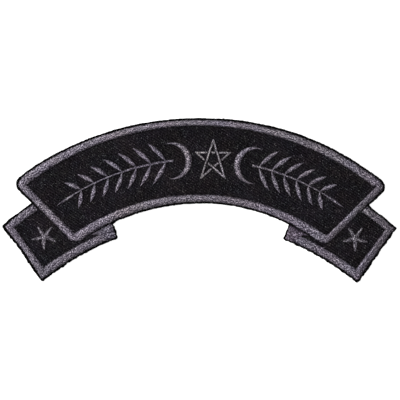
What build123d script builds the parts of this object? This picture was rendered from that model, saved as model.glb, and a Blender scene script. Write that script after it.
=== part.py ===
"""Rocker patch: an arched ribbon of black twill with raised satin embroidery, lying face up.

The outlines are drawn about the centre of the arch, with the middle line upwards. They are
then placed so that the patch's box is centred on the origin, with its back at height zero.
Angles along the arch are measured from the middle line, positive to the right.
"""
from build123d import *
from math import acos, atan2, cos, degrees, radians, sin, sqrt
import os

os.makedirs("parts", exist_ok=True)

# Cloth
patch_width = 127.0          # over the tips of the two tails
cloth_thickness = 1.2        # twill pressed on its backing
rim = 0.42                   # bare cloth outside the satin, up to the cut edge

# Embroidery above the cloth, and the bare twill between its pieces
border_height = 0.8
border_bevel = 0.45          # slope of the border's satin along all its edges
fold_height = 0.6
fold_bevel = 0.3
motif_height = 0.45
motif_bevel = 0.12
panel_gap = 0.3              # between the panel's border and what lies behind the panel
piece_gap = 0.15             # between a turned end and the tail's border

# Arched panel, over its satin border
panel_inner_radius = 64.3    # lower edge, about the arch's centre
panel_height = 26.55         # on the middle line
panel_outer_radius = 97.4    # upper edge, flatter than the lower one
panel_side_lean = 4.3        # of the slanted ends, degrees off the line from the centre
upper_corner_round = 2.6
lower_corner_round = 3.6

# Width of the panel's border
top_band_middle = 1.7
top_band_end = 2.8
bottom_band_middle = 2.2
bottom_band_end = 3.0
side_band = 2.45

# Ribbon tails, over their satin
tail_reach = 2.9             # of each tip beyond the panel's upper corner
tail_tip_rise = 6.0          # of each tip above the panel's lower corner
tail_turn = 8.5              # of its end, degrees steeper than the panel's slanted end
tail_end_length = 20.9
tail_top_radius = 60.0
tail_bottom_radius = 100.0
tail_band = 2.55             # width of the tail's border

# Turned end of the ribbon below the panel, lengths along the panel's lower edge
fold_setback = 12.7          # of its foot from the panel's lower corner
fold_drop = 4.8              # of its foot below the panel's border
fold_turn = 9.5              # of its free edge, degrees steeper than the line from the centre
fold_fill_length = 4.6       # from the foot to the end of the filled part
fold_strip_length = 6.85     # from the foot to the tip of the thin strip
fold_strip_width = 1.2

# Star on each tail
star_arms = 5
star_gap = 0.9               # between its reach and the panel's border
star_reach = 4.05
star_root = 1.25             # width of an arm at the centre
star_tip = 0.55              # and at its end

# Pentagram, on the line along which the panel's ornaments stand
ornament_rise = 0.4          # of that line above the middle of the panel's height
pentagram_shift = 4.1        # it stands a little right of the middle line
pentagram_rise = 0.3         # and a little above the ornaments' line
pentagram_width = 10.9
pentagram_height = 12.0
pentagram_line = 0.65
pentagram_groove = 0.3       # beside each line that passes over another
groove_floor = 0.15          # height of the thread left in a groove

# Crescents on both sides of the pentagram
crescent_gap = 1.3
crescent_radius = 6.0
crescent_belly = 2.2
hollow_flare = 0.4           # the hollow's radius is this much smaller

# Branches from the crescents to the panel's ends
branch_end_gap = 2.4         # between the last leaf and the border
stem_root = 0.9
stem_tip = 0.5
leaf_pitch = 4.5             # between pairs of leaves, about
leaf_length = 8.4
leaf_spread = 52.0           # degrees between a leaf and the stem
leaf_belly = 1.1             # bulge of a leaf's outer side
leaf_back = 0.5              # bulge of its inner side
leaf_taper = 0.35            # share of the length that is lost towards the last pair
end_leaf_length = 7.0


def polar(radius, angle):
    """Point at a radius about the arch's centre and an angle from the middle line."""
    return Vector(radius * sin(radians(angle)), radius * cos(radians(angle)))


def slope(angle):
    """Unit direction at an angle above level."""
    return Vector(cos(radians(angle)), sin(radians(angle)))


def crossing(point_1, direction_1, point_2, direction_2):
    """Point where two straight lines cross."""
    offset_12 = point_2 - point_1
    turn = direction_1.X * direction_2.Y - direction_1.Y * direction_2.X
    along = (offset_12.X * direction_2.Y - offset_12.Y * direction_2.X) / turn
    return point_1 + direction_1 * along


def circle_on_middle_line(crown, point):
    """Radius and centre height of the circle through its crown and one more point."""
    drop = crown - point.Y
    radius = (point.X**2 + drop**2) / (2 * drop)
    return radius, crown - radius


# The panel's four edges, and its lower corner on the right
panel_crown = panel_inner_radius + panel_height
outer_centre = Vector(0, panel_crown - panel_outer_radius)
half_panel = patch_width / 2 - rim - tail_reach
upper_corner = outer_centre + Vector(half_panel, sqrt(panel_outer_radius**2 - half_panel**2))
side_slope = degrees(atan2(upper_corner.Y, upper_corner.X)) - panel_side_lean
side_in = slope(side_slope + 180)
side_out = slope(side_slope - 90)


def angle_on_side(radius, inset):
    """Angle at which the slanted end, moved in by inset, meets a circle about the centre."""
    point = upper_corner - side_out * inset
    distance = point.X * side_in.Y - point.Y * side_in.X
    return degrees(acos(distance / radius)) - side_slope


corner_angle = angle_on_side(panel_inner_radius, 0)
lower_corner = polar(panel_inner_radius, corner_angle)


def panel_face(top_radius, top_centre, bottom_radius, bottom_centre, inset):
    """Area between two arcs and the two slanted ends, which are moved in by inset."""
    top_of_side = upper_corner - side_in * (2 * panel_height) - side_out * inset
    foot_of_side = upper_corner + side_in * (2 * panel_height) - side_out * inset
    with BuildSketch() as face:
        with Locations((0, top_centre)):
            Circle(top_radius)
        with Locations((0, bottom_centre)):
            Circle(bottom_radius, mode=Mode.SUBTRACT)
        with BuildLine():
            Polyline(
                top_of_side,
                foot_of_side,
                (-foot_of_side.X, foot_of_side.Y),
                (-top_of_side.X, top_of_side.Y),
                close=True,
            )
        make_face(mode=Mode.INTERSECT)
    return face.sketch


with BuildSketch() as panel_outline:
    add(panel_face(panel_outer_radius, outer_centre.Y, panel_inner_radius, 0, 0))
    fillet(panel_outline.vertices().sort_by(Axis.Y)[:2], lower_corner_round)
    fillet(panel_outline.vertices().sort_by(Axis.Y)[-2:], upper_corner_round)

# The window of bare twill: the border round it widens towards the ends
top_end = upper_corner + (outer_centre - upper_corner).normalized() * top_band_end
bottom_end = polar(panel_inner_radius + bottom_band_end, corner_angle)
top_arc = circle_on_middle_line(panel_crown - top_band_middle, top_end)
bottom_arc = circle_on_middle_line(panel_inner_radius + bottom_band_middle, bottom_end)
panel_window = panel_face(*top_arc, *bottom_arc, side_band)

# The right tail, whose outline runs on under the panel
tuck = 2 * tail_band
tail_end_slope = side_slope + tail_turn
tail_in = slope(tail_end_slope + 90)
tail_tip = Vector(half_panel + tail_reach, lower_corner.Y + tail_tip_rise)
tail_heel = tail_tip - slope(tail_end_slope) * tail_end_length
tail_top_end = crossing(tail_tip, tail_in, upper_corner - side_out * tuck, side_in)
fold_angle = corner_angle - degrees(fold_setback / panel_inner_radius)
fold_foot = polar(panel_inner_radius - fold_drop, fold_angle)
fold_top = fold_foot + slope(90 - fold_angle + fold_turn) * (fold_drop + tuck)

with BuildSketch() as tail_outline:
    with BuildLine():
        RadiusArc(tail_tip, tail_top_end, -tail_top_radius)
        Polyline(tail_top_end, fold_top, fold_foot)
        RadiusArc(fold_foot, tail_heel, tail_bottom_radius)
        Line(tail_heel, tail_tip)
    make_face()

with BuildSketch() as tail_window:
    add(tail_outline.sketch)
    offset(amount=-tail_band, kind=Kind.INTERSECTION)

# The turned end: a filled part, and a thin strip that runs out along the panel's border
hidden_radius = panel_inner_radius + bottom_band_middle
strip_radius = panel_inner_radius - fold_strip_width
below_radius = panel_inner_radius - 2 * fold_drop
start_angle = fold_angle - degrees(fold_fill_length / panel_inner_radius)
fill_angle = fold_angle + degrees(fold_fill_length / panel_inner_radius)
strip_angle = fold_angle + degrees(fold_strip_length / panel_inner_radius)
with BuildSketch() as fold_area:
    with BuildLine():
        Polyline(
            polar(hidden_radius, start_angle),
            polar(below_radius, start_angle),
            polar(below_radius, fold_angle),
            polar(strip_radius, fill_angle),
            polar(panel_inner_radius, strip_angle),
            polar(hidden_radius, strip_angle),
            close=True,
        )
    make_face()

# Outlines moved out: the cut edges of the cloth, and the room kept round the embroidery
with BuildSketch() as panel_cloth:
    add(panel_outline.sketch)
    offset(amount=rim)
with BuildSketch() as tail_cloth:
    add(tail_outline.sketch)
    offset(amount=rim)
with BuildSketch() as panel_room:
    add(panel_outline.sketch)
    offset(amount=panel_gap)
with BuildSketch() as fold_room:
    add(fold_area.sketch)
    offset(amount=piece_gap, kind=Kind.INTERSECTION)

# The whole cloth, whose box says how far down the drawings are placed
with BuildSketch() as cloth_outline:
    add(panel_cloth.sketch)
    add(tail_cloth.sketch)
    mirror(tail_cloth.sketch, about=Plane.YZ)
back_plane = Plane((0, -cloth_outline.sketch.bounding_box().center().Y, 0))
face_plane = back_plane.offset(cloth_thickness)

with BuildPart() as twill_ground:
    with BuildSketch(back_plane):
        add(cloth_outline.sketch)
    extrude(amount=cloth_thickness)

with BuildPart() as panel_border:
    with BuildSketch(face_plane):
        add(panel_outline.sketch)
        add(panel_window, mode=Mode.SUBTRACT)
    extrude(amount=border_height)
    chamfer(panel_border.faces().sort_by(Axis.Z)[-1].edges(), border_bevel)

with BuildPart() as tail_border_right:
    with BuildSketch(face_plane):
        add(tail_outline.sketch)
        add(tail_window.sketch, mode=Mode.SUBTRACT)
        add(panel_room.sketch, mode=Mode.SUBTRACT)
        add(fold_room.sketch, mode=Mode.SUBTRACT)
    extrude(amount=border_height)
    chamfer(tail_border_right.faces().sort_by(Axis.Z)[-1].edges(), border_bevel)

with BuildPart() as tail_border_left:
    mirror(tail_border_right.part, about=Plane.YZ)

with BuildPart() as fold_right:
    with BuildSketch(face_plane):
        add(tail_outline.sketch)
        add(fold_area.sketch, mode=Mode.INTERSECT)
        add(panel_room.sketch, mode=Mode.SUBTRACT)
    extrude(amount=fold_height)
    chamfer(fold_right.faces().sort_by(Axis.Z)[-1].edges(), fold_bevel)

with BuildPart() as fold_left:
    mirror(fold_right.part, about=Plane.YZ)

# Star on a tail: tapered arms, one of them straight down. It is level with the middle of the
# tail's end, and beside the panel's border.
star_side = upper_corner + side_out * (star_reach + star_gap)
star_centre = crossing((tail_tip + tail_heel) / 2, tail_in, star_side, side_in)


def star_arm(heading):
    """Straight stroke from the star's centre that tapers towards its end."""
    along, aside = slope(heading), slope(heading + 90)
    end = star_centre + along * star_reach
    with BuildSketch() as face:
        with BuildLine():
            Polyline(
                star_centre - aside * (star_root / 2),
                end - aside * (star_tip / 2),
                end + aside * (star_tip / 2),
                star_centre + aside * (star_root / 2),
                close=True,
            )
        make_face()
    return face.sketch


with BuildPart() as star_right:
    with BuildSketch(face_plane):
        for arm in range(star_arms):
            add(star_arm(360 / star_arms * arm - 90))
    extrude(amount=motif_height)
    chamfer(star_right.faces().sort_by(Axis.Z)[-1].edges(), motif_bevel)

with BuildPart() as star_left:
    mirror(star_right.part, about=Plane.YZ)

# Pentagram: straight lines between its points, some of which pass under others
ornament_radius = panel_inner_radius + panel_height / 2 + ornament_rise
pentagram_angle = degrees(pentagram_shift / ornament_radius)
pentagram_centre = polar(ornament_radius + pentagram_rise, pentagram_angle)
point_shares = {  # name: share of the width to the right, share of the height upwards
    "top": (0, 0.5),
    "right": (0.5, 0.17),
    "lower_right": (0.35, -0.5),
    "lower_left": (-0.35, -0.5),
    "left": (-0.5, 0.17),
}
star_points = {
    name: pentagram_centre + Vector(across * pentagram_width, up * pentagram_height)
    for name, (across, up) in point_shares.items()
}
lines = {
    "fall": ("top", "lower_left"),
    "rise": ("top", "lower_right"),
    "level": ("left", "right"),
    "dive": ("left", "lower_right"),
    "climb": ("right", "lower_left"),
}
passes_under = {"level": ["fall", "rise"], "dive": ["fall"], "climb": ["rise", "dive"]}


def stitched_line(name, over_names):
    """One line, cut away beside every line that passes over it."""
    with BuildSketch() as face:
        with BuildLine():
            Line(*[star_points[point] for point in lines[name]])
        trace(line_width=pentagram_line)
        for over_name in over_names:
            with BuildLine():
                Line(*[star_points[point] for point in lines[over_name]])
            trace(line_width=pentagram_line + 2 * pentagram_groove, mode=Mode.SUBTRACT)
    return face.sketch


with BuildPart() as pentagram:
    with BuildSketch(face_plane):
        for name in lines:
            add(stitched_line(name, passes_under.get(name, [])))
        with Locations(*star_points.values()):
            Circle(pentagram_line / 2)
    extrude(amount=motif_height)
    chamfer(pentagram.faces().filter_by(Plane.XY).group_by(Axis.Z)[-1].edges(), motif_bevel)
    with BuildSketch(face_plane):
        for name in lines:
            add(stitched_line(name, []))
    extrude(amount=groove_floor)


def raised(face):
    """Ornament's solid on the cloth from its face, with a bevel round the top."""
    with BuildPart() as solid:
        with BuildSketch(face_plane):
            add(face)
        extrude(amount=motif_height)
        chamfer(solid.faces().sort_by(Axis.Z)[-1].edges(), motif_bevel)
    return solid.part


def crescent_face(centre_angle, turned):
    """Crescent on the ornaments' line; its horns point right for 1 and left for -1."""
    hollow_radius = crescent_radius - hollow_flare
    hollow_shift = crescent_belly - hollow_flare
    centre = polar(ornament_radius, centre_angle)
    with BuildSketch() as face:
        with Locations(centre):
            Circle(crescent_radius)
        with Locations(centre + slope(-centre_angle) * (turned * hollow_shift)):
            Circle(hollow_radius, mode=Mode.SUBTRACT)
    return face.sketch


def leaf_face(root, tip, left_bulge, right_bulge):
    """Pointed leaf between two points, with its own bulge on each side."""
    with BuildSketch() as face:
        with BuildLine():
            SagittaArc(root, tip, left_bulge)
            SagittaArc(tip, root, right_bulge)
        make_face()
    return face.sketch


def stem_face(foot_angle, stem_angle):
    """Stem along the ornaments' line that tapers towards the branch's end."""
    middle_angle = (foot_angle + stem_angle) / 2
    widths = (stem_root, (stem_root + stem_tip) / 2, stem_tip)
    places = list(zip((foot_angle, middle_angle, stem_angle), widths))
    outer = [polar(ornament_radius + width / 2, angle) for angle, width in places]
    inner = [polar(ornament_radius - width / 2, angle) for angle, width in places]
    with BuildSketch() as face:
        with BuildLine():
            ThreePointArc(*outer)
            Line(outer[-1], inner[-1])
            ThreePointArc(*reversed(inner))
            Line(inner[0], outer[0])
        make_face()
    return face.sketch


def branch_faces(foot_angle, tip_angle):
    """The stem, its pairs of leaves and the leaf at its end."""
    turned = 1 if tip_angle > foot_angle else -1
    stem_angle = tip_angle - turned * degrees(end_leaf_length / ornament_radius)
    pairs = round(abs(stem_angle - foot_angle) / degrees(leaf_pitch / ornament_radius))
    step = (stem_angle - foot_angle) / pairs
    faces = [stem_face(foot_angle, stem_angle)]
    for pair in range(pairs):
        angle = foot_angle + step * (pair + 0.5)
        length = leaf_length * (1 - leaf_taper * pair / pairs)
        root = polar(ornament_radius, angle)
        for side in (turned, -turned):
            heading = 90 - angle - turned * 90 + side * leaf_spread
            tip = root + slope(heading) * length
            faces.append(leaf_face(root, tip, side * leaf_belly, side * leaf_back))
    end_root = polar(ornament_radius, stem_angle - step / 4)
    faces.append(leaf_face(end_root, polar(ornament_radius, tip_angle), leaf_back, leaf_back))
    return faces


crescent_span = degrees((pentagram_width / 2 + crescent_gap + crescent_radius) / ornament_radius)
right_foot = pentagram_angle + crescent_span
left_foot = pentagram_angle - crescent_span
branch_tip = angle_on_side(ornament_radius, side_band + branch_end_gap)

with BuildPart() as crescent_right:
    add(raised(crescent_face(right_foot, 1)))

with BuildPart() as crescent_left:
    add(raised(crescent_face(left_foot, -1)))

with BuildPart() as branch_right:
    for face in branch_faces(right_foot, branch_tip):
        add(raised(face))

with BuildPart() as branch_left:
    for face in branch_faces(left_foot, -branch_tip):
        add(raised(face))

pieces = {
    "twill_ground": twill_ground,
    "panel_border": panel_border,
    "tail_border_left": tail_border_left,
    "tail_border_right": tail_border_right,
    "fold_left": fold_left,
    "fold_right": fold_right,
    "star_left": star_left,
    "star_right": star_right,
    "pentagram": pentagram,
    "crescent_left": crescent_left,
    "crescent_right": crescent_right,
    "branch_left": branch_left,
    "branch_right": branch_right,
}
for name, piece in pieces.items():
    piece.part.label = name
    export_step(piece.part, f"parts/{name}.step")
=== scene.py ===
"""Looks of the rocker patch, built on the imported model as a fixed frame.

The outlines are read from the CAD nodes, and every embroidered piece is laid in single
threads along them. Lengths are in millimetres up to the making of a mesh. Meshes, and the
places and bump distances in materials, are in metres.
"""
import math

import bpy
import numpy as np
from mathutils.geometry import tessellate_polygon
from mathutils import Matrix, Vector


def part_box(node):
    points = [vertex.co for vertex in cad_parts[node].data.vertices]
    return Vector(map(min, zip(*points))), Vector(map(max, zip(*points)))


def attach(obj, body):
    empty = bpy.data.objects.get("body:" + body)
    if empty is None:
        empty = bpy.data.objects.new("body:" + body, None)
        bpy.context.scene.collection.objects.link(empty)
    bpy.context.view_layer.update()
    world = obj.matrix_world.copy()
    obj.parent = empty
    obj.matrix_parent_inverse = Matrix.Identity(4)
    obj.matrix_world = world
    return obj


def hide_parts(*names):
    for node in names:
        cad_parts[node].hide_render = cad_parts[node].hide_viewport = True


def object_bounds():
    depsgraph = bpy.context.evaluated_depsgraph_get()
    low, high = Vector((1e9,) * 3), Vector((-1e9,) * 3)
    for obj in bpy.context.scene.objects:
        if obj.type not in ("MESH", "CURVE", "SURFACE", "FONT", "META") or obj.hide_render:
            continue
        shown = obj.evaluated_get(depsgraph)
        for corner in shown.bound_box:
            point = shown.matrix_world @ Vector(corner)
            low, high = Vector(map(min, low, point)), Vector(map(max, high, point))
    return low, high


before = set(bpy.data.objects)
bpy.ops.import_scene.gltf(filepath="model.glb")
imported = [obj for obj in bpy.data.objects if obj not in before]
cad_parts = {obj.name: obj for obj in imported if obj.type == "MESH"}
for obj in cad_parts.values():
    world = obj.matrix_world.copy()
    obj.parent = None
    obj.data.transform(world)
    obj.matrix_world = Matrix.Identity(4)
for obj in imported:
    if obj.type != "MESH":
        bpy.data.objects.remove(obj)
cad_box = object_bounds()

MM = 0.001
chance = np.random.default_rng(11)
sides = ("left", "right")

cloth_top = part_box("twill_ground")[1].z / MM

# Embroidery
thread_pitch = 0.34          # between neighbouring stitches
motif_pitch = 0.3            # the same in the motifs
thread_relief = 0.11         # depth of the groove between two threads
stitch_dip = 0.12            # how far the ends of a stitch go into the cloth
groove_tuck = 0.06           # how much shorter a stitch is at its grooves
crown_round = 1.9            # how steep a column's sides are, 2 as in an ellipse
full_relief_width = 0.9      # narrower columns have shallower grooves
shading_width = 1.1          # narrower columns are shaded as if they had this width
thread_rows = (-0.5, -0.25, 0.0, 0.25)   # rows of points of a thread, from its middle

# Share of a column's height at so many threads from an end that falls off
shoulder_threads, shoulder_heights = (0, 0.5, 1.5, 3), (0.45, 0.72, 0.93, 1)

# How much one thread differs from the next
place_spread = 0.09          # share of the pitch
height_spread = 0.06         # share of the height
end_spread = 0.06            # of each end's place
lump_spread, lump_range = 0.03, (-0.07, 0.04)

# Cloth
warp_pitch = 0.49            # of the threads along the patch's height
weft_pitch = 0.30            # of the threads along its width
weave_relief = 0.12
weave_sink = 0.04            # of the lowest part of the weave below the cloth's top
weft_share = 0.42            # of the relief, for the threads that pass under
yarn_spread = 0.08           # share of a thread's height
fuzz_spread = 0.004
under_satin = 0.4            # how far the woven face runs under the borders
under_fold = 0.3             # and under the turned ends
face_inset = 1.0             # of the woven face from the cut edge


# Outlines

def turns(line):
    """Twice the area of a closed outline, positive when it runs anticlockwise."""
    x, y = line.T
    return np.sum(x * np.roll(y, -1) - y * np.roll(x, -1))


def outlines(node, top=False):
    """Closed outlines of a node's lowest or highest level, anticlockwise, widest first."""
    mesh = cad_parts[node].data
    points = np.array([v.co for v in mesh.vertices]) / MM
    level = points[:, 2].max() if top else points[:, 2].min()
    places, same = np.unique(np.round(points, 4), axis=0, return_inverse=True)
    same = same.ravel()
    edges = set()
    for face in mesh.polygons:
        corner = [int(same[i]) for i in face.vertices]
        if all(abs(places[i][2] - level) < 1e-3 for i in corner):
            edges.update(zip(corner, corner[1:] + corner[:1]))
    follow = {a: b for a, b in edges if (b, a) not in edges}
    loops = []
    while follow:
        at, loop = min(follow), []
        while at in follow:
            loop.append(places[at][:2])
            at = follow.pop(at)
        loop = np.array(loop)
        loops.append(loop if turns(loop) > 0 else loop[::-1])
    return sorted(loops, key=lambda loop: -np.ptp(loop[:, 0]))


def thickness(node):
    """Height of a node's box."""
    low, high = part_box(node)
    return (high.z - low.z) / MM


def lengths(line):
    """Length along a line up to each of its points."""
    steps = np.linalg.norm(np.diff(line, axis=0), axis=1)
    return np.concatenate(([0], np.cumsum(steps)))


def at_length(line, where, along=None):
    """Points of a line at given lengths along it."""
    along = lengths(line) if along is None else along
    return np.stack([np.interp(where, along, line[:, i]) for i in range(line.shape[1])], 1)


def spread(line, step):
    """A line with its points a step apart, about."""
    total = lengths(line)[-1]
    return at_length(line, np.linspace(0, total, max(2, round(total / step)) + 1))


def ring(line, step):
    """A closed outline with its points a step apart, the first one not repeated."""
    return spread(np.vstack([line, line[:1]]), step)[:-1]


def corners(line, least):
    """Places in a closed outline where it turns by more than so many degrees."""
    before, after = line - np.roll(line, 1, 0), np.roll(line, -1, 0) - line
    cross = before[:, 0] * after[:, 1] - before[:, 1] * after[:, 0]
    turn = np.degrees(np.arctan2(cross, (before * after).sum(1)))
    return list(np.where(np.abs(turn) > least)[0])


def part_of(line, first, last):
    """Points of a closed outline from one place to another, both with it."""
    return np.roll(line, -first, 0)[: (last - first) % len(line) + 1]


def outward(line):
    """Unit directions out of an anticlockwise closed outline."""
    along = np.roll(line, -1, 0) - np.roll(line, 1, 0)
    out = np.stack([along[:, 1], -along[:, 0]], 1)
    return out / np.linalg.norm(out, axis=1)[:, None]


def grown(line, amount):
    """Closed outline moved outwards, or inwards below zero."""
    line = ring(line, 0.25)
    return line + outward(line) * amount


def inside(points, line):
    """Which points lie inside a closed outline."""
    x, y = points.T
    found = np.zeros(len(points), bool)
    for (x1, y1), (x2, y2) in zip(line, np.roll(line, -1, 0)):
        if y1 != y2:
            crosses = (y1 > y) != (y2 > y)
            found ^= crosses & (x < (x2 - x1) * (y - y1) / (y2 - y1) + x1)
    return found


def smooth(values, reach):
    """Running mean over so many values to each side, with the ends carried on."""
    padded = np.pad(values, reach, mode="edge")
    return np.convolve(padded, np.ones(2 * reach + 1) / (2 * reach + 1), "valid")


def smooth_round(values, reach):
    """The same running mean for the values of a closed line."""
    wrapped = np.concatenate([values[-reach:], values, values[:reach]])
    return smooth(wrapped, reach)[reach:-reach]


def nearest(points, line):
    """For each point, the place in a line that is nearest to it."""
    return np.array([np.argmin(((line - p) ** 2).sum(1)) for p in points])


def distance(points, line):
    """For each point, how far it is from the nearest point of a line."""
    return np.array([np.sqrt(((line - p) ** 2).sum(1).min()) for p in points])


def fanned(outer, inner, closed, step=0.1, blend=12, ends=25):
    """Two edges of a band, matched so that stitches cross it square and fan round corners."""
    if closed:
        outer, inner = ring(outer, step), ring(inner, step)
        inner = np.roll(inner, -int(nearest(outer[:1], inner)[0]), 0)
        count = len(inner)
        even = np.arange(len(outer)) * count / len(outer)
        place = nearest(outer, inner).astype(float)
        place = np.unwrap(place * 2 * math.pi / count) * count / (2 * math.pi)
        place = (smooth_round(place - even, blend) + even) % count
        inner = np.vstack([inner, inner[:1]])
    else:
        outer, inner = spread(outer, step), spread(inner, step)
        place = nearest(outer, inner).astype(float)
        place[:ends] = np.linspace(0, place[ends], ends)
        place[-ends:] = np.linspace(place[-ends - 1], len(inner) - 1, ends)
        place = smooth(place, blend)
        place[0], place[-1] = 0, len(inner) - 1
    return outer, at_length(inner, place, np.arange(len(inner)))


# Meshes

def new_piece(name, points, faces, uv=None, reach=None, material=None):
    """Mesh object on the root body, from points in millimetres."""
    mesh = bpy.data.meshes.new(name)
    mesh.from_pydata((np.asarray(points) * MM).tolist(), [], faces)
    mesh.polygons.foreach_set("use_smooth", np.ones(len(mesh.polygons), bool))
    if uv is not None:
        layer = mesh.uv_layers.new(name="Threads")
        layer.data.foreach_set("uv", np.asarray(uv, np.float32).ravel())
    if reach is not None:
        attribute = mesh.attributes.new("reach", "FLOAT", "POINT")
        attribute.data.foreach_set("value", np.asarray(reach, np.float32))
    mesh.update()
    piece = bpy.data.objects.new(name, mesh)
    bpy.context.scene.collection.objects.link(piece)
    piece.data.materials.append(material)
    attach(piece, "root")
    return piece


class Stitches:
    """Threads gathered into one mesh.

    The first number of its uv map is the way along a stitch, and the second counts threads.
    Its attribute reach is the way to the nearer end of the stitch. Both are in millimetres.
    """

    def __init__(self, pitch=thread_pitch, relief=thread_relief, across=12):
        self.points, self.faces, self.uv, self.reach = [], [], [], []
        self.count, self.threads = 0, 0
        self.pitch, self.relief, self.across = pitch, relief, across

    def column(
        self, rail_a, rail_b, height, closed=False, lean=None, slim=0.0, flat=2.1,
        ends=(-0.02, -0.02), pull=None, sloped=(True, True),
    ):
        """Column of stitches from one matched edge to the other.

        Where the column is narrower than slim, it is lower as well. Its ridge stands at a share
        of the width that lean gives for the patch's left and right end. Pull tells how much
        further the stitches reach over each edge, and sloped which ends of the column fall off.
        """
        middle = (rail_a + rail_b) / 2
        if closed:
            rail_a, rail_b, middle = [np.vstack([r, r[:1]]) for r in (rail_a, rail_b, middle)]
        along = lengths(middle)
        threads = max(3, round(along[-1] / self.pitch))
        rows = np.arange(threads)[:, None] + 0.5 + np.array(thread_rows)
        rows = rows.ravel() if closed else np.append(rows.ravel(), threads)
        index = np.minimum(rows.astype(int), threads - 1)
        dip = np.sqrt(np.clip(1 - (2 * (rows - index) - 1) ** 2, 0, 1)) - 1

        # Each thread has its own place, height and ends; a groove takes the mean of its two
        sway = chance.normal(0, place_spread, threads)
        tall = 1 - np.abs(chance.normal(0, height_spread, threads))
        end_a, end_b = (chance.normal(mean, end_spread, threads) for mean in ends)

        def per_row(values):
            previous = values[index - 1] if closed else values[np.maximum(index - 1, 0)]
            groove = np.isclose(rows, np.round(rows))
            return np.where(groove, (values[index] + previous) / 2, values[index])

        where = (rows + per_row(sway)) * along[-1] / threads
        where = where % along[-1] if closed else np.clip(where, 0, along[-1])
        a, b = at_length(rail_a, where, along), at_length(rail_b, where, along)
        width = np.maximum(np.linalg.norm(b - a, axis=1), 1e-3)
        way = (b - a) / width[:, None]
        trim = np.minimum(1, width / 2)
        more_a, more_b = pull(a, way) if pull else (0, 0)
        tuck = -groove_tuck * dip
        a = a - way * (trim * (per_row(end_a) + more_a - tuck))[:, None]
        b = b + way * (trim * (per_row(end_b) + more_b - tuck))[:, None]

        share = (1 - np.cos(np.linspace(0, math.pi, self.across + 1))) / 2
        lean = np.interp((a + b)[:, 0] / 2, (-60, 60), lean) if lean else np.full(len(a), 0.5)
        even = share[None, :] ** (math.log(0.5) / np.log(lean))[:, None]
        crown = (1 - np.abs(2 * even - 1) ** flat) ** (1 / crown_round)
        tops = height * per_row(tall)
        if slim:
            tops = tops * np.clip(width / slim, 0.12, 1) ** 0.5
        if not closed:
            far = shoulder_threads[-1]
            from_ends = (rows if sloped[0] else far, threads - rows if sloped[1] else far)
            tops = tops * np.interp(np.minimum(*from_ends), shoulder_threads, shoulder_heights)
        spots = a[:, None] + (b - a)[:, None] * share[None, :, None]
        level = tops[:, None] * crown

        # The groove between threads is cut square to the column's round surface
        rise = np.gradient(level, axis=1)
        run = np.gradient(share) * width[:, None]
        size = np.hypot(rise, run) + 1e-9
        lumps = chance.normal(0, lump_spread, (threads, self.across + 1))
        lumps = np.clip(lumps, *lump_range)[index] * (1 + dip[:, None]) * np.sin(share * math.pi)
        sink = self.relief * dip[:, None] + lumps
        sink = sink * np.minimum(1, width / full_relief_width)[:, None]
        spots = spots + way[:, None] * (-rise / size * sink)[..., None]
        level = level + run / size * sink
        level[:, 0] = level[:, -1] = -stitch_dip
        points = np.dstack([spots, cloth_top + level])
        if not closed:
            low = points[[0, -1]].copy()
            low[..., 2] = cloth_top - stitch_dip
            points = np.concatenate([low[:1], points, low[1:]])
            rows = np.concatenate([[0], rows, [threads]])
            width = np.concatenate([width[:1] * 0, width, width[:1] * 0])
        from_end = np.minimum(share, 1 - share)
        self.reach.append(np.outer(np.maximum(width, shading_width), from_end).ravel())

        columns = self.across + 1
        face_rows = np.arange(len(points) if closed else len(points) - 1)
        r, c = np.meshgrid(face_rows, np.arange(columns - 1), indexing="ij")
        r2 = (r + 1) % len(points)
        corner = [(r, c), (r, c + 1), (r2, c + 1), (r2, c)]
        faces = np.stack([rr * columns + cc for rr, cc in corner], -1).reshape(-1, 4)
        v_row = np.append(rows, threads) if closed else rows
        u_row = share * width.mean()
        uv = np.stack(
            [
                np.stack([u_row[cc], v_row[vv] + self.threads], -1)
                for (_, cc), vv in zip(corner, (r, r, r + 1, r + 1))
            ],
            2,
        ).reshape(-1, 4, 2)
        if self.flipped(middle, way, where, along):
            faces, uv = faces[:, ::-1], uv[:, ::-1]
        self.points.append(points.reshape(-1, 3))
        self.faces.append(faces + self.count)
        self.uv.append(uv)
        self.count += points.shape[0] * points.shape[1]
        self.threads += threads + 3

    @staticmethod
    def flipped(middle, way, where, along):
        """Whether the faces of a column would look down."""
        ahead = at_length(middle, np.minimum(where + 0.2, along[-1]), along)
        ahead = ahead - at_length(middle, np.maximum(where - 0.2, 0), along)
        cross = way[:, 0] * ahead[:, 1] - way[:, 1] * ahead[:, 0]
        return np.sum(cross) < 0

    def piece(self, name, material, node):
        """Makes the embroidered piece that stands in the place of a solid."""
        lists = (self.points, self.faces, self.uv, self.reach)
        points, faces, uv, reach = map(np.concatenate, lists)
        satin = new_piece(name, points, faces.tolist(), uv, reach, material)
        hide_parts(node)


# Materials

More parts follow.
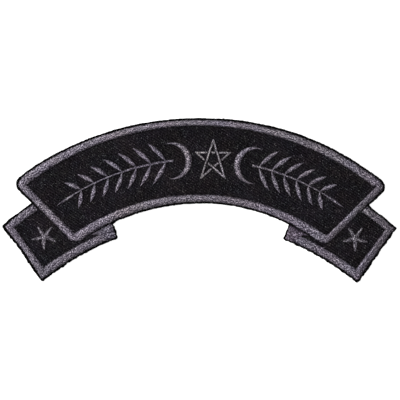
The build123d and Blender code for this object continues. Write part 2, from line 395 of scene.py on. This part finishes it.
class Nodes:
    """Short way to write a material's nodes."""

    def __init__(self, name):
        self.material = bpy.data.materials.new(name)
        self.material.use_nodes = True
        self.tree = self.material.node_tree
        self.shader = self.tree.nodes["Principled BSDF"]

    def add(self, kind, inputs=None, **settings):
        node = self.tree.nodes.new("ShaderNode" + kind)
        for key, value in settings.items():
            setattr(node, key, value)
        for key, value in (inputs or {}).items():
            if isinstance(value, bpy.types.NodeSocket):
                self.tree.links.new(value, node.inputs[key])
            else:
                node.inputs[key].default_value = value
        return node

    def math(self, operation, *values):
        return self.add("Math", dict(enumerate(values)), operation=operation).outputs[0]

    def sum(self, *values):
        total = values[0]
        for value in values[1:]:
            total = self.math("ADD", total, value)
        return total

    def times(self, one, other):
        return self.math("MULTIPLY", one, other)

    def noise(self, scale, detail=2.0, vector=None, roughness=0.5):
        inputs = {"Scale": scale, "Detail": detail, "Roughness": roughness}
        if vector is not None:
            inputs["Vector"] = vector
        return self.add("TexNoise", inputs).outputs["Fac"]

    def range(self, value, low, high, to_low, to_high):
        inputs = {"Value": value, 1: low, 2: high, 3: to_low, 4: to_high}
        return self.add("MapRange", inputs).outputs[0]

    def mix(self, factor, a, b, **settings):
        """Colour from one to another, each of them a socket or its red, green and blue."""
        inputs = {"Factor": factor}
        for key, colour in (("A", a), ("B", b)):
            inputs[key] = colour if isinstance(colour, bpy.types.NodeSocket) else (*colour, 1)
        return self.add("Mix", inputs, data_type="RGBA", **settings).outputs["Result"]

    def cell(self, column, row):
        """A chance value for each pair of whole numbers."""
        pair = self.add("CombineXYZ", {0: column, 1: row}).outputs[0]
        noise = self.add("TexWhiteNoise", {"Vector": pair}, noise_dimensions="2D")
        return noise.outputs["Value"]

    def changing(self, cells, *size):
        """Chance values that change from one cell to the next, and don't gather into blots."""
        beside = self.math("ADD", cells(*size, -1), cells(*size, 1))
        return self.math("SUBTRACT", cells(*size), self.times(beside, 0.5))

    def tints(self, place, warm, cool):
        """Clouds of factors for red and for blue, each with its scale and spread."""
        elsewhere = self.add("VectorMath", {0: place, 1: (0.31, 0.17, 0.23)}, operation="ADD")
        factors = []
        for vector, (scale, spread) in ((place, warm), (elsewhere.outputs[0], cool)):
            cloud = self.noise(scale, 2.0, vector, 0.6)
            factors.append(self.range(cloud, 0.35, 0.65, 1 - spread, 1 + spread))
        return factors

    def bump(self, height, strength, distance, normal=None):
        inputs = {"Height": height, "Strength": strength, "Distance": distance}
        if normal is not None:
            inputs["Normal"] = normal
        return self.add("Bump", inputs).outputs["Normal"]

    def link(self, output, name):
        self.tree.links.new(output, self.shader.inputs[name])

    def set(self, values):
        """Plain values on the shader's own inputs."""
        for name, value in values.items():
            self.shader.inputs[name].default_value = value


bit_length = 0.30            # of the bits of a thread that differ in tone
# The fibres that shine carry painted glints in their colour
glint_fibre_length = 0.20          # of the fibres that shine or hide
ply_turn = 0.62              # length of thread for one turn of its two plies


def thread_material(name, colours, level, seed, contrast):
    """Twisted embroidery thread: each stitch has its own tone, with painted glints on some fibres
    and dark specks on others.
    """
    light, dark = colours
    n = Nodes(name)
    uv = n.add("UVMap", uv_map="Threads").outputs["UV"]
    place = n.add("TexCoord").outputs["Object"]
    split = n.add("SeparateXYZ", {0: uv})
    along, index = split.outputs["X"], split.outputs["Y"]
    number = n.math("ADD", n.math("FLOOR", index), seed)
    thread = n.add("TexWhiteNoise", {"W": number}, noise_dimensions="1D").outputs["Value"]

    def cells(size, rows, ahead=0):
        """A chance value for each short length of a thread, or of a part of its width."""
        drift = n.range(n.noise(5000.0, 1.0, place), 0, 1, 0, 0.8)
        shift = n.math("ADD", n.times(thread, 9.0), drift)
        bit = n.math("FLOOR", n.math("ADD", n.math("DIVIDE", along, size), shift))
        row = n.math("FLOOR", n.times(n.math("ADD", index, seed), rows))
        return n.cell(n.math("ADD", bit, ahead), row)

    fibre = cells(glint_fibre_length, 2.0)
    fleck = n.noise(2600.0, 2.0, place, 0.78)
    tone = n.sum(
        0.88,
        n.range(thread, 0.0, 1.0, -0.05, 0.05),
        n.times(n.changing(cells, bit_length, 1.0), 3.2 * contrast),
        n.range(fleck, 0.36, 0.64, -0.08, 0.08),
        n.range(n.noise(140.0, 2.0, place), 0.3, 0.7, -0.05, 0.05),
        # Painted glints: a few fibres much lighter, stronger where the contrast is higher
        n.range(fibre, 0.88, 1.0, 0.0, 5.5 * contrast),
    )
    tone = n.math("SUBTRACT", tone, n.range(fibre, 0.0, 0.22, contrast, 0.0))
    colour = n.mix(n.times(tone, level), dark, light)

    # Darker towards the ends of a stitch, partly the cloth showing between threads and partly
    # painted shade where the stitch dips into the cloth, and a slow drift of tint
    reach = n.add("Attribute", attribute_name="reach").outputs["Fac"]
    reach = n.math("ADD", reach, n.range(fleck, 0.36, 0.64, -0.12, 0.12))
    shade = n.range(reach, 0.05, 0.5, 0.35, 1.0)
    colour = n.mix(shade, [0.4 * part for part in dark], colour)
    warm, cool = n.tints(place, (95.0, 0.035), (80.0, 0.055))
    hue = n.add("CombineColor", {0: warm, 1: 1.0, 2: cool}).outputs[0]
    n.link(n.mix(1.0, colour, hue, blend_type="MULTIPLY"), "Base Color")

    # Two plies twisted round each other, and the single strands
    twist = n.times(along, 2 * math.pi / ply_turn)
    ply = n.math("SINE", n.math("ADD", twist, n.times(index, 2 * math.pi)))
    drawn_out = n.add("CombineXYZ", {0: n.times(along, 1.1), 1: n.times(index, 5.0)})
    strands = n.noise(2.2, 2.0, drawn_out.outputs[0], 0.6)
    n.link(n.bump(strands, 0.5, 0.00005, n.bump(ply, 0.55, 0.00003)), "Normal")
    n.link(n.range(fleck, 0.3, 0.7, 0.62, 0.42), "Roughness")
    n.set({"Specular IOR Level": 0.35, "Sheen Weight": 0.18, "Sheen Roughness": 0.4})
    return n.material


def twill_material(name, base, bright, painted_glint_colour):
    """Black polyester twill: matt, with a little fuzz, painted light on the crowns of its ribs and
    painted glints on rare fibres.
    """
    n = Nodes(name)
    place = n.add("TexCoord").outputs["Object"]
    grain = n.noise(1900.0, 3.0, place, 0.75)
    cloud = n.noise(90.0, 2.0, place)
    split = n.add("SeparateXYZ", {0: place})
    x, y = split.outputs["X"], split.outputs["Y"]

    def cells(width, length, ahead=0):
        """A chance value for each cell of the cloth."""
        column = n.math("FLOOR", n.math("DIVIDE", x, width * MM))
        row = n.math("FLOOR", n.math("DIVIDE", y, length * MM))
        return n.cell(n.math("ADD", column, ahead), row)

    tuft_size = (0.62 * warp_pitch, weft_pitch)
    fibre, tuft = cells(warp_pitch / 3, weft_pitch / 2), cells(*tuft_size)
    # Painted glints: rare fibres much lighter, as where they would catch the lamp
    glint = n.sum(
        n.range(fibre, 0.88, 1.0, 0.0, 0.25),
        n.range(fibre, 0.985, 1.0, 0.0, 1.1),
        n.range(tuft, 0.97, 1.0, 0.0, 0.20),
    )
    # Painted light: the crowns of the diagonal ribs are lighter and the hollows between them darker
    warp_turn, weft_turn = (2 * math.pi / (3 * p * MM) for p in (warp_pitch, weft_pitch))
    ribs = n.math("COSINE", n.math("ADD", n.times(x, warp_turn), n.times(y, weft_turn)))
    tone = n.sum(
        n.range(grain, 0.36, 0.64, 0.0, 0.7),
        n.range(cloud, 0.3, 0.7, -0.15, 0.25),
        n.times(ribs, 0.38),
        n.times(n.changing(cells, *tuft_size), 0.8),
    )
    colour = n.mix(tone, base, bright, clamp_factor=False)
    colour = n.mix(glint, colour, painted_glint_colour)

    # Painted shade on some tufts, as on tufts that lie low, and the tint drifts
    low = n.range(tuft, 0.0, 0.10, 0.3, 1.0)
    warm, cool = n.tints(place, (190.0, 0.09), (170.0, 0.09))
    hue = n.add("CombineColor", {0: n.times(warm, low), 1: low, 2: n.times(cool, low)})
    n.link(n.mix(1.0, colour, hue.outputs[0], blend_type="MULTIPLY"), "Base Color")
    n.link(n.bump(n.noise(5200.0, 3.0, place, 0.65), 0.6, 0.00006), "Normal")
    n.set({"Roughness": 0.88, "Specular IOR Level": 0.05, "Sheen Weight": 0.012})
    return n.material


def cut_edge_material(name, dark, light):
    """Cut edge of the cloth: near black on top, with the twill's and the backing's layer below."""
    n = Nodes(name)
    place = n.add("TexCoord").outputs["Object"]
    height = n.math("DIVIDE", n.add("SeparateXYZ", {0: place}).outputs["Z"], MM)
    height = n.math("ADD", height, n.range(n.noise(700.0, 2.0, place), 0.3, 0.7, -0.05, 0.05))
    flat_place = n.add("VectorMath", {0: place, 1: (1.0, 1.0, 0.35)}, operation="MULTIPLY")
    fibre = n.noise(2600.0, 3.0, flat_place.outputs[0], 0.7)
    below_top = n.range(height, 0.98, 1.10, 1.0, 0.0)
    above_backing = n.range(height, 0.50, 0.60, 0.0, 1.0)
    backing = n.range(height, 0.44, 0.52, 1.0, 0.0)
    tone = n.math("ADD", n.times(n.times(below_top, above_backing), 0.55), backing)
    tone = n.times(tone, n.range(fibre, 0.35, 0.65, 0.35, 1.5))
    n.link(n.mix(tone, dark, light), "Base Color")
    n.link(n.bump(fibre, 0.8, 0.00012), "Normal")
    n.set({"Roughness": 0.9, "Specular IOR Level": 0.05, "Sheen Weight": 0.012})
    return n.material


# Light and dark colour of the threads
satin_colours = (0.828, 0.744, 0.866), (0.018, 0.010, 0.027)
line_colours = (0.815, 0.760, 0.828), (0.017, 0.011, 0.021)
# The folds' colours are more purple, the right one most: painted shade
fold_shade_colours = {
    "left": ((0.800, 0.720, 0.850), (0.016, 0.009, 0.024)),
    "right": ((0.820, 0.690, 0.850), (0.020, 0.008, 0.025)),
}
grey_thread = thread_material("grey_thread", satin_colours, 0.135, 0, 1.5)
line_thread = thread_material("grey_thread_line", line_colours, 0.220, 900, 1.3)
# Copies of the grey thread with painted light and shade: the right-hand tail, star and fold are
# darker and more speckled, away from the lamp, and the folds darker than the tails
tail_thread_shaded = {
    "left": thread_material("grey_thread_tail_left", satin_colours, 0.091, 300, 1.8),
    "right": thread_material("grey_thread_tail_right", satin_colours, 0.071, 400, 2.7),
}
star_thread_shaded = {
    "left": thread_material("grey_thread_star_left", line_colours, 0.090, 1100, 1.7),
    "right": thread_material("grey_thread_star_right", line_colours, 0.062, 1300, 3.0),
}
fold_thread_shaded = {
    "left": thread_material("grey_thread_fold_left", fold_shade_colours["left"], 0.050, 500, 2.7),
    "right": thread_material("grey_thread_fold_right", fold_shade_colours["right"], 0.030, 700, 4.2),
}
black_twill = twill_material(
    "black_twill", (0.0010, 0.0008, 0.0011), (0.0160, 0.0132, 0.0180), (0.16, 0.156, 0.16)
)
twill_edge = cut_edge_material(
    "black_twill_edge", (0.0009, 0.0007, 0.0009), (0.022, 0.020, 0.023)
)


# Cloth: one body with a cut edge, and its woven face where it shows

ground_outline = outlines("twill_ground", top=True)[0]
edge = ring(ground_outline, 0.16)
edge_out = outward(edge)
edge_out = np.stack([smooth_round(edge_out[:, i], 1) for i in (0, 1)], 1)


def wander(scale, size):
    """Random values round the cut edge that change over about scale points."""
    count = len(edge)
    knots = chance.normal(0, size, max(4, count // scale))
    where = np.arange(count) * len(knots) / count
    return np.interp(where, np.arange(len(knots) + 1), np.append(knots, knots[0]))


# Places where the cut strays from the drawn outline, and how far outwards
cut_strays = np.array([
    (-62, -9, 0.10), (-57, -17.5, -0.20), (-54, -22, 0.10), (-50, -25.5, 0.20),
    (-46, -23, 0.20), (-40, -19, 0.00), (-30, -14, 0.00), (-27, -10, 0.50),
    (-57, -3.5, -0.25), (-58.5, 3, -0.10), (-52, 11, 0.10), (-30, 21.5, 0.05),
    (-3, 26, -0.05), (-26, -6.8, -0.10), (-24, -6, 0.00), (-12, -2.5, 0.05),
    (11, -2, -0.15), (25, -6.5, -0.20), (31, -14, 0.15), (37, -17.5, 0.00),
    (44, -21.5, 0.15), (50.5, -26, 0.15), (52.5, -24.5, 0.10), (56, -19, -0.10),
    (60, -13.5, -0.30), (63, -9.5, -0.40), (60, -5.5, -0.45), (57, -3, -0.65),
    (56.5, 0.5, 0.10), (58.5, 3, 0.10), (58, 7, -0.30), (54, 10, -0.30),
    (48, 13.5, -0.10), (40, 17.5, 0.10), (28, 22, 0.20), (16, 25, 0.10),
])
stray_reach, stray_fade = 1.6, 0.8       # how far from the cut they end, and the fade up to there


def strayed(points):
    """How far outwards the cut lies near given points, fading to nothing away from the cut."""
    gap = ((points[:, None] - cut_strays[None, :, :2]) ** 2).sum(2) + 0.5
    weight = gap ** -2
    share = np.clip((stray_reach - distance(points, edge)) / stray_fade, 0, 1)
    return share * (weight * cut_strays[:, 2]).sum(1) / weight.sum(1)


# The cut lies a little outside the drawn outline, and is rougher on the low tails
low_edge = np.clip((-edge[:, 1] - 4) / 10, 0, 1)
ragged = wander(1, 0.025) + wander(4, 0.06) * (0.7 + low_edge)
ragged = np.clip(ragged, -0.18, 0.14) + 0.11 + strayed(edge)
cut_levels = [                           # height of each, and how far it lies outwards
    (0.0, -0.05), (0.2, 0.0), (0.75, 0.02), (1.05, 0.0), (1.14, -0.07), (1.17, -0.2), (1.17, -0.5),
]
loose_size = 0.012                       # of the single fibres along the cut


def cloth_body():
    """The cloth with its cut edge, closed above and below."""
    count = len(edge)
    levels, faces = [], []
    for height, outset in cut_levels:
        loose = wander(1, loose_size) + wander(3, loose_size)
        row = edge + edge_out * (outset + ragged + loose)[:, None]
        bumps = wander(1, loose_size) if 0 < height else 0
        levels.append(np.column_stack([row, np.full(count, height) + bumps]))
    for start in range(0, (len(levels) - 1) * count, count):
        for i in range(count):
            j = (i + 1) % count
            faces.append((start + i, start + j, start + count + j, start + count + i))
    for number, looks_up in ((0, False), (len(levels) - 1, True)):
        level = levels[number]
        for face in tessellate_polygon([[tuple(p) for p in level]]):
            a, b, c = (level[i][:2] for i in face)
            up = (b[0] - a[0]) * (c[1] - a[1]) - (b[1] - a[1]) * (c[0] - a[0]) > 0
            face = tuple(i + number * count for i in face)
            faces.append(face if up == looks_up else face[::-1])
    return new_piece("cloth", np.concatenate(levels), faces, material=twill_edge)


cloth = cloth_body()
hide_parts("twill_ground")


def woven(name, shows, low, high):
    """Twill face over part of a box of the plan, two threads over and one under."""
    x = np.arange(low[0], high[0], warp_pitch / 3)
    y = np.arange(low[1], high[1], weft_pitch / 2)
    gx, gy = np.meshgrid(x, y, indexing="ij")
    shown = shows(np.column_stack([gx.ravel(), gy.ravel()])).reshape(gx.shape)
    warp, weft = gx / warp_pitch, gy / weft_pitch
    warp_no, weft_no = np.floor(warp).astype(int), np.floor(weft).astype(int)
    warp_high = chance.normal(1, yarn_spread, np.ptp(warp_no) + 1)[warp_no - warp_no.min()]
    weft_high = chance.normal(1, yarn_spread, np.ptp(weft_no) + 1)[weft_no - weft_no.min()]
    over = 0.5 + 0.5 * np.cos(2 * math.pi * (weft + warp_no + 0.5) / 3)
    crown = np.sin(math.pi * np.clip(warp - warp_no, 0.08, 0.92)) ** 0.6
    raised = over ** 0.7 * crown * warp_high
    flat = weft_share * np.sin(math.pi * np.clip(weft - weft_no, 0.12, 0.88)) * weft_high
    level = cloth_top - weave_sink + weave_relief * np.maximum(raised, flat)
    level += chance.normal(0, fuzz_spread, level.shape)
    cells = shown[:-1, :-1] & shown[1:, :-1] & shown[1:, 1:] & shown[:-1, 1:]
    number = np.arange(gx.size).reshape(gx.shape)
    corner = (number[:-1, :-1], number[1:, :-1], number[1:, 1:], number[:-1, 1:])
    used, quads = np.unique(np.stack(corner, -1)[cells], return_inverse=True)
    points = np.column_stack([gx.ravel(), gy.ravel(), level.ravel()])[used]
    piece = new_piece(name, points, quads.reshape(-1, 4).tolist(), material=black_twill)
    return piece


panel_outer, panel_inner = outlines("panel_border")
cloth_in = grown(ground_outline, -face_inset)
panel_in = grown(panel_outer, -under_satin)


def panel_face():
    field = grown(panel_inner, under_satin)
    low, high = field.min(0) - 0.5, field.max(0) + 0.5
    return woven("twill_face_panel", lambda points: inside(points, field), low, high)


def tail_face(side):
    tail, fold = outlines("tail_border_" + side)[0], outlines("fold_" + side)[0]
    covers = [panel_in, grown(tail, -under_satin), grown(fold, -under_fold)]

    def shows(points):
        return inside(points, cloth_in) & ~np.any([inside(points, c) for c in covers], axis=0)

    return woven("twill_face_" + side, shows, tail.min(0), tail.max(0))


woven_faces = [panel_face()] + [tail_face(side) for side in sides]


# Satin borders: their ridge lies off the middle, more so on the right

border_form = {"lean": (0.45, 0.74), "ends": (-0.06, 0.14)}
border_height = thickness("panel_border")
rim_reach = 0.52             # a tail border's free edge lies within this of the cut
tail_runs_on = 0.3           # under the turned end


def border_pull(outer_more, inner_more):
    """How far the thread's pull moves a band's outer and inner edge, by place and direction.

    What is given is how much more it is at slanted ends, on the patch's left and right.
    """
    def pull(points, way):
        x = points[:, 0]
        upper = np.clip(-way[:, 1], 0, 1)
        slanted = np.clip((np.abs(way[:, 0]) - 0.62) / 0.12, 0, 1)
        outer = -0.04 * upper + slanted * np.interp(x, (-45, 45), outer_more)
        outer = outer + 0.75 * strayed(points)
        inner = 0.10 + 0.18 * upper + slanted * np.interp(x, (-45, 45), inner_more)
        return outer, inner

    return pull


def carried_on(line, end, amount):
    """Line that goes straight on past one of its ends."""
    at, before = (line[0], line[3]) if end == 0 else (line[-1], line[-4])
    further = at + (at - before) / np.linalg.norm(at - before) * amount
    return np.vstack([further, line]) if end == 0 else np.vstack([line, further])


def panel_satin():
    stitches = Stitches()
    rails = fanned(panel_outer, panel_inner, True)
    pull = border_pull((-0.28, 0.0), (0.1, -0.5))
    stitches.column(*rails, border_height, closed=True, pull=pull, **border_form)
    stitches.piece("panel_satin", grey_thread, "panel_border")


def tail_satin(side):
    node = "tail_border_" + side
    loop = outlines(node)[0]
    free = distance(loop, ring(ground_outline, 0.1)) < rim_reach
    first = next(i for i in range(len(loop)) if free[i] and not free[i - 1])
    loop, free = np.roll(loop, -first, 0), np.roll(free, -first)
    last = int(np.sum(free)) - 1
    outer_edge, inner_edge = loop[: last + 1], loop[last + 1:][::-1]
    fold_at = outlines("fold_" + side)[0].mean(0)
    to_start, to_end = (np.linalg.norm(outer_edge[i] - fold_at) for i in (0, -1))
    fold_end = 0 if to_start < to_end else -1
    rails = fanned(outer_edge, inner_edge, False)
    rails = [carried_on(rail, fold_end, tail_runs_on) for rail in rails]
    sloped = (to_start > to_end, to_start < to_end)
    pull = border_pull((-0.2, -0.1), (-0.1, -0.15))
    stitches = Stitches()
    stitches.column(*rails, border_height, sloped=sloped, pull=pull, **border_form)
    stitches.piece("tail_satin_" + side, tail_thread_shaded[side], node)


panel_satin()
for side in sides:
    tail_satin(side)


# Turned ends: stitches lie along the free edge

fold_further = {"left": 0.45, "right": 0.0}


def fold_satin(side):
    node = "fold_" + side
    loop = outlines(node)[0]
    edges = np.roll(loop, -1, 0) - loop
    longest = int(np.argmax(np.linalg.norm(edges, axis=1)))
    way = edges[longest] / np.linalg.norm(edges[longest])
    way = way if way[1] > 0 else -way
    aside = np.array([way[1], -way[0]])
    dense = ring(loop, 0.02)
    across, up = dense @ aside, dense @ way
    first, last = across.min() + 0.03, across.max() - 0.03
    stations = np.linspace(first, last + fold_further[side], 90)
    near = np.abs(across[:, None] - np.clip(stations, first, last)) < 0.06
    top = np.where(near, up[:, None], -np.inf).max(0)
    low = np.where(near, up[:, None], np.inf).min(0)
    rail_top = stations[:, None] * aside + top[:, None] * way
    rail_low = stations[:, None] * aside + low[:, None] * way
    stitches = Stitches()
    stitches.column(rail_low, rail_top, thickness(node), slim=0.9, flat=4.0, ends=(0.17, -0.02))
    stitches.piece("fold_satin_" + side, fold_thread_shaded[side], node)


for side in sides:
    fold_satin(side)


# Stars: five leaf-shaped arms that meet at the centre, each a little higher than the last

star_reach, star_root, star_belly, star_tip = 4.05, 0.85, 1.45, 0.62
star_heading_spread = 2.0                # degrees
star_width_spread, star_bend_spread = 0.05, 0.09


def star_satin(side):
    node = "star_" + side
    loop = outlines(node)[0]
    tips = loop[np.linalg.norm(loop - loop.mean(0), axis=1) > 0.85 * star_reach]
    centre = tips.mean(0)
    stitches = Stitches(pitch=motif_pitch, relief=0.09, across=8)
    for arm in range(5):
        heading = math.radians(72 * arm - 90 + chance.normal(0, star_heading_spread))
        along = np.array([math.cos(heading), math.sin(heading)])
        aside = np.array([-along[1], along[0]])
        places = np.linspace(-0.04, 1, 40)[:, None]
        width = np.interp(places, (0, 0.18, 0.45, 1), (star_root, star_belly, star_belly, star_tip))
        width = width * (1.12 if arm == 0 else 1 + chance.normal(0, star_width_spread))
        bend = aside * np.sin(places * math.pi) * chance.normal(0, star_bend_spread)
        line = centre + along * places * star_reach + bend
        height = thickness(node) * (0.86 + 0.035 * arm)
        stitches.column(line - aside * width / 2, line + aside * width / 2, height)
    stitches.piece("star_satin_" + side, star_thread_shaded[side], node)


for side in sides:
    star_satin(side)


# The ornaments stand on a circle about the arch's centre, with the model's sizes

panel_inner_radius, panel_height = 64.3, 26.55
ornament_rise = 0.4
pentagram_shift, pentagram_rise = 4.1, 0.3
pentagram_width, pentagram_height = 10.9, 12.0
pentagram_line, pentagram_groove = 0.76, 0.3
crescent_gap, crescent_radius = 1.3, 6.0
stem_root, stem_tip = 0.9, 0.5
leaf_pitch, leaf_length, leaf_spread, leaf_taper = 4.5, 8.4, 52.0, 0.35
leaf_belly, leaf_back, end_leaf_length = 1.1, 0.5, 7.0

panel_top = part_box("panel_border")[1].y / MM
arch_centre = np.array([0, panel_top - (panel_inner_radius + panel_height)])
ornament_radius = panel_inner_radius + panel_height / 2 + ornament_rise
motif_height = thickness("pentagram")
tall_motif = motif_height * 1.1


def polar(radius, angle):
    """Point at a radius about the arch's centre and an angle from the middle line."""
    angle = np.radians(angle)
    return arch_centre + np.stack([radius * np.sin(angle), radius * np.cos(angle)], -1)


# Pentagram: where a line passes under another, its stitches stop on both sides of it

pentagram_angle = math.degrees(pentagram_shift / ornament_radius)
pentagram_centre = polar(ornament_radius + pentagram_rise, pentagram_angle)
pentagram_size = np.array([pentagram_width, pentagram_height])
shares = {
    "top": (0, 0.5),
    "right": (0.5, 0.17),
    "lower_right": (0.35, -0.5),
    "lower_left": (-0.35, -0.5),
    "left": (-0.5, 0.17),
}
star_points = {
    name: pentagram_centre + np.array(share) * pentagram_size for name, share in shares.items()
}
lines = {
    "fall": ("top", "lower_left"),
    "rise": ("top", "lower_right"),
    "level": ("left", "right"),
    "dive": ("left", "lower_right"),
    "climb": ("right", "lower_left"),
}
passes_under = {"level": ["fall", "rise"], "dive": ["fall"], "climb": ["rise", "dive"]}


def cross_share(one, other):
    """Where another line crosses one, as a share of its length, and the sine between them."""
    (a, b), (c, d) = [[star_points[p] for p in lines[name]] for name in (one, other)]
    u, v = b - a, d - c
    turn = u[0] * v[1] - u[1] * v[0]
    share = ((c - a)[0] * v[1] - (c - a)[1] * v[0]) / turn
    return share, abs(turn) / (np.linalg.norm(u) * np.linalg.norm(v))


def pentagram_satin():
    stitches = Stitches(pitch=motif_pitch, relief=0.08, across=6)
    for name, ends in lines.items():
        start, end = (star_points[p] for p in ends)
        size = np.linalg.norm(end - start)
        along = (end - start) / size
        aside = np.array([-along[1], along[0]])
        stops = [-pentagram_line / 2]
        for over in passes_under.get(name, []):
            share, sine = cross_share(name, over)
            half = (pentagram_line / 2 + 0.9 * pentagram_groove) / sine
            stops += [share * size - half, share * size + half]
        stops = sorted(stops) + [size + pentagram_line / 2]
        for low, high in zip(stops[::2], stops[1::2]):
            places = np.linspace(low, high, 40)[:, None]
            from_ends = np.minimum(places - stops[0], stops[-1] - places)
            width = pentagram_line * np.clip(from_ends / 0.45, 0.35, 1)
            line = start + along * places
            stitches.column(line - aside * width / 2, line + aside * width / 2, motif_height)
    stitches.piece("pentagram_satin", line_thread, "pentagram")


pentagram_satin()


# Crescents, from horn to horn

def crescent_satin(side):
    node = "crescent_" + side
    loop = outlines(node)[0]
    one, two = corners(loop, 90)
    rails = [part_of(loop, one, two), part_of(loop, two, one)[::-1]]
    rails = [at_length(rail, np.linspace(0, lengths(rail)[-1], 160)) for rail in rails]
    stitches = Stitches(pitch=motif_pitch, across=10)
    stitches.column(*rails, tall_motif, slim=1.0, flat=1.6, lean=(0.4, 0.4))
    stitches.piece("crescent_satin_" + side, grey_thread, node)


for side in sides:
    crescent_satin(side)


# Branches: a stem, pairs of leaves and a leaf at the end, as in the model

def bulged(start, end, bulge, count=60):
    """Arc between two points that bulges to the left of the way, or right below zero."""
    chord = end - start
    size = np.linalg.norm(chord)
    along, aside = chord / size, np.array([-chord[1], chord[0]]) / size
    radius = (size ** 2 / 4 + bulge ** 2) / (2 * abs(bulge))
    x = np.linspace(-size / 2, size / 2, count)
    y = np.sqrt(radius ** 2 - x ** 2) - (radius - abs(bulge))
    middle = (start + end) / 2
    return middle + x[:, None] * along + (np.sign(bulge) * y)[:, None] * aside


def leaf(stitches, root, tip, left, right):
    """Leaf from root to tip that bulges by so much on its left and right side."""
    rails = bulged(root, tip, left), bulged(root, tip, -right)
    stitches.column(*rails, tall_motif, slim=0.9, flat=1.6)


def branch(foot_angle, tip_angle):
    """Stitches of a branch along the ornaments' line."""
    turned = 1 if tip_angle > foot_angle else -1
    stem_angle = tip_angle - turned * math.degrees(end_leaf_length / ornament_radius)
    pairs = round(abs(stem_angle - foot_angle) / math.degrees(leaf_pitch / ornament_radius))
    step = (stem_angle - foot_angle) / pairs
    stitches = Stitches(pitch=motif_pitch, relief=0.09, across=8)
    for pair in range(pairs):
        angle = foot_angle + step * (pair + 0.5)
        length = leaf_length * (1 - leaf_taper * pair / pairs)
        root = polar(ornament_radius, angle)
        for side in (turned, -turned):
            heading = math.radians(90 - angle - turned * 90 + side * leaf_spread)
            tip = root + np.array([math.cos(heading), math.sin(heading)]) * length
            bulges = (leaf_belly, leaf_back) if side > 0 else (leaf_back, leaf_belly)
            leaf(stitches, root, tip, *bulges)
    angles = np.linspace(foot_angle, stem_angle, 200)
    half = np.linspace(stem_root, stem_tip, 200) / 2
    rails = polar(ornament_radius + half, angles), polar(ornament_radius - half, angles)
    stitches.column(*rails, motif_height * 1.05)
    end_root = polar(ornament_radius, stem_angle - step / 4)
    leaf(stitches, end_root, polar(ornament_radius, tip_angle), leaf_back, leaf_back)
    return stitches


crescent_reach = pentagram_width / 2 + crescent_gap + crescent_radius
crescent_span = math.degrees(crescent_reach / ornament_radius)
for side, turned in (("left", -1), ("right", 1)):
    node = "branch_" + side
    foot_angle = pentagram_angle + turned * crescent_span
    low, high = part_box(node)
    far = (high.x if turned > 0 else low.x) / MM
    tip_angle = turned * math.degrees(math.asin(abs(far) / ornament_radius))
    branch(foot_angle, tip_angle).piece("branch_satin_" + side, grey_thread, node)


# Floor, light and camera

def floor_material():
    n = Nodes("floor")
    n.set({
        "Base Color": (0.45, 0.45, 0.45, 1),
        "Roughness": 0.9,
        "Specular IOR Level": 0.1,
        "Emission Color": (1, 1, 1, 1),
        "Emission Strength": 0.95,
    })
    return n.material


floor_corners = [(-1.5, -1.5, 0), (1.5, -1.5, 0), (1.5, 1.5, 0), (-1.5, 1.5, 0)]
floor_mesh = bpy.data.meshes.new("floor")
floor_mesh.from_pydata(floor_corners, [], [(0, 1, 2, 3)])
floor = bpy.data.objects.new("floor", floor_mesh)
bpy.context.scene.collection.objects.link(floor)
floor.data.materials.append(floor_material())

low, high = cad_box

world = bpy.data.worlds.new("studio")
world.use_nodes = True
world.node_tree.nodes["Background"].inputs["Color"].default_value = (1, 1, 1, 1)
world.node_tree.nodes["Background"].inputs["Strength"].default_value = 0.30
bpy.context.scene.world = world

window = bpy.data.lights.new("window", "AREA")
window.shape = "SQUARE"
window.size = 0.45
window.energy = 29.0
lamp = bpy.data.objects.new("window", window)
lamp_side, lamp_rise, lamp_turn = 1.25, 0.88, math.radians(163)
lamp.location = (lamp_side * math.cos(lamp_turn), lamp_side * math.sin(lamp_turn), lamp_rise)
lamp.rotation_euler = (0, math.atan2(lamp_side, lamp_rise), lamp_turn)
bpy.context.scene.collection.objects.link(lamp)

# Straight above, a little off the middle and turned by a third of a degree
camera = bpy.data.cameras.new("camera")
camera.lens = 335.6
camera.sensor_width = 36
camera.clip_end = 20
eye = bpy.data.objects.new("camera", camera)
eye.location = (-0.092 * MM, -0.124 * MM, 1.2)
eye.rotation_euler = (0, 0, math.radians(0.305))
bpy.context.scene.collection.objects.link(eye)
bpy.context.scene.camera = eye
bpy.context.scene.view_settings.view_transform = "Standard"
